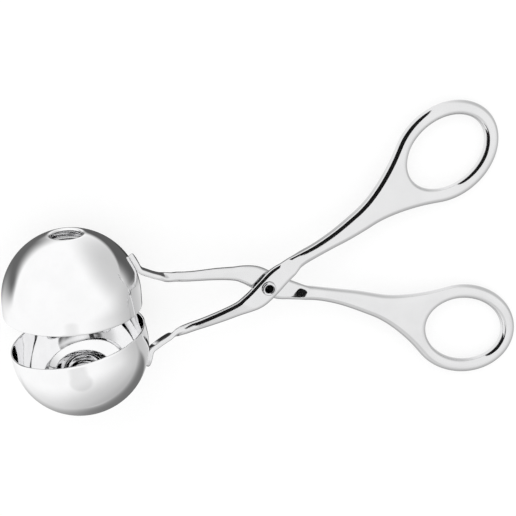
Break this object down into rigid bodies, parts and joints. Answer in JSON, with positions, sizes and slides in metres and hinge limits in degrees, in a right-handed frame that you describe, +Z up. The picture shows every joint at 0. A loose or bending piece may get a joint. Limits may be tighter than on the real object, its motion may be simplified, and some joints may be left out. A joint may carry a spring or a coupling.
{
  "type": "meatball tongs",
  "caption": "Scissor-action tongs whose round cups close into a ball, with crossed levers on a hollow rivet and oval finger loops.",
  "frame": {"origin": "bottom centre of the tongs' box as they lie on a table, slightly open", "axes": "+X from the cups towards the finger loops, +Y from the front lever's cup towards the rear lever's cup, +Z up from the table"},
  "size_m": [0.192, 0.1112, 0.05],
  "materials": {
    "lever_steel": "pressed stainless steel sheet, tumble polished to a soft mirror",
    "cup_steel": "thin stainless steel, mirror polished inside and out",
    "rivet_steel": "stainless steel, smooth, burnished where it was rolled over"
  },
  "bodies": {
    "front_half": {"front_lever": "lever_steel", "lower_cup": "cup_steel", "pivot_rivet": "rivet_steel"},
    "rear_half": {"rear_lever": "lever_steel", "upper_cup": "cup_steel"}
  },
  "joints": [
    {"name": "pivot", "type": "hinge", "parent": "front_half", "child": "rear_half", "pos_m": [0.00029, -0.00338, 0.01519], "axis": [-0.137, 0, -0.9906], "range_deg": [-8.5, 41.5]}
  ]
}
